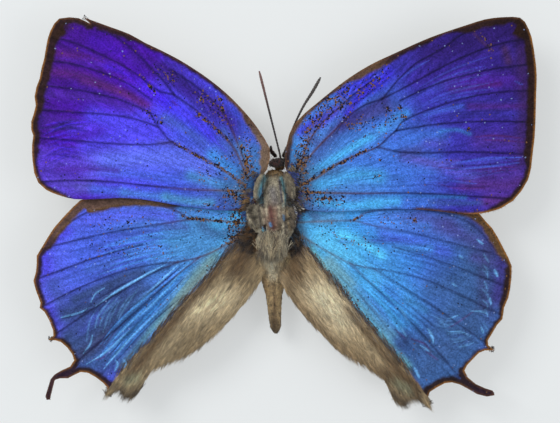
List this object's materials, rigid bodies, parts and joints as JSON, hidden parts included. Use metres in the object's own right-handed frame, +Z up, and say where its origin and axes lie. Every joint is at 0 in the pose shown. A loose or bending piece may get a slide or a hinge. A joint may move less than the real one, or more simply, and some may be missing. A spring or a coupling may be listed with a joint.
{
  "type": "set butterfly specimen",
  "caption": "Dried hairstreak butterfly with spread violet and blue wings, a tail on each hindwing and bent legs, lying flat with its back up.",
  "frame": {"origin": "centre of the flat underside of the thorax, on the surface that the butterfly lies on", "axes": "+Y from the tail to the head, +X towards the insect's own right wings, +Z up out of its back"},
  "size_m": [0.0604, 0.0467, 0.0062],
  "materials": {
    "forewing_scales": "structural violet-blue scales with a metallic sheen, dark brown border",
    "hindwing_scales": "structural azure scales with a metallic sheen, dark brown border and beige hair at the inner edge",
    "body_hair": "matted grey-beige hair",
    "head_scales": "dark brown scales and hair",
    "leg_scales": "brown scales, banded paler at the feet",
    "cuticle": "satin dark brown cuticle",
    "eye": "fine-faceted dark maroon"
  },
  "bodies": {
    "root": {"thorax": "body_hair", "abdomen": "body_hair", "head": "head_scales", "left_eye": "eye", "right_eye": "eye", "left_palp": "head_scales", "right_palp": "head_scales", "proboscis": "cuticle", "left_antenna": "cuticle", "right_antenna": "cuticle", "left_tegula": "body_hair", "right_tegula": "body_hair", "left_foreleg": "leg_scales", "right_foreleg": "leg_scales", "left_midleg": "leg_scales", "right_midleg": "leg_scales", "left_hindleg": "leg_scales", "right_hindleg": "leg_scales", "left_forewing": "forewing_scales", "right_forewing": "forewing_scales", "left_hindwing": "hindwing_scales", "right_hindwing": "hindwing_scales"}
  },
  "joints": []
}
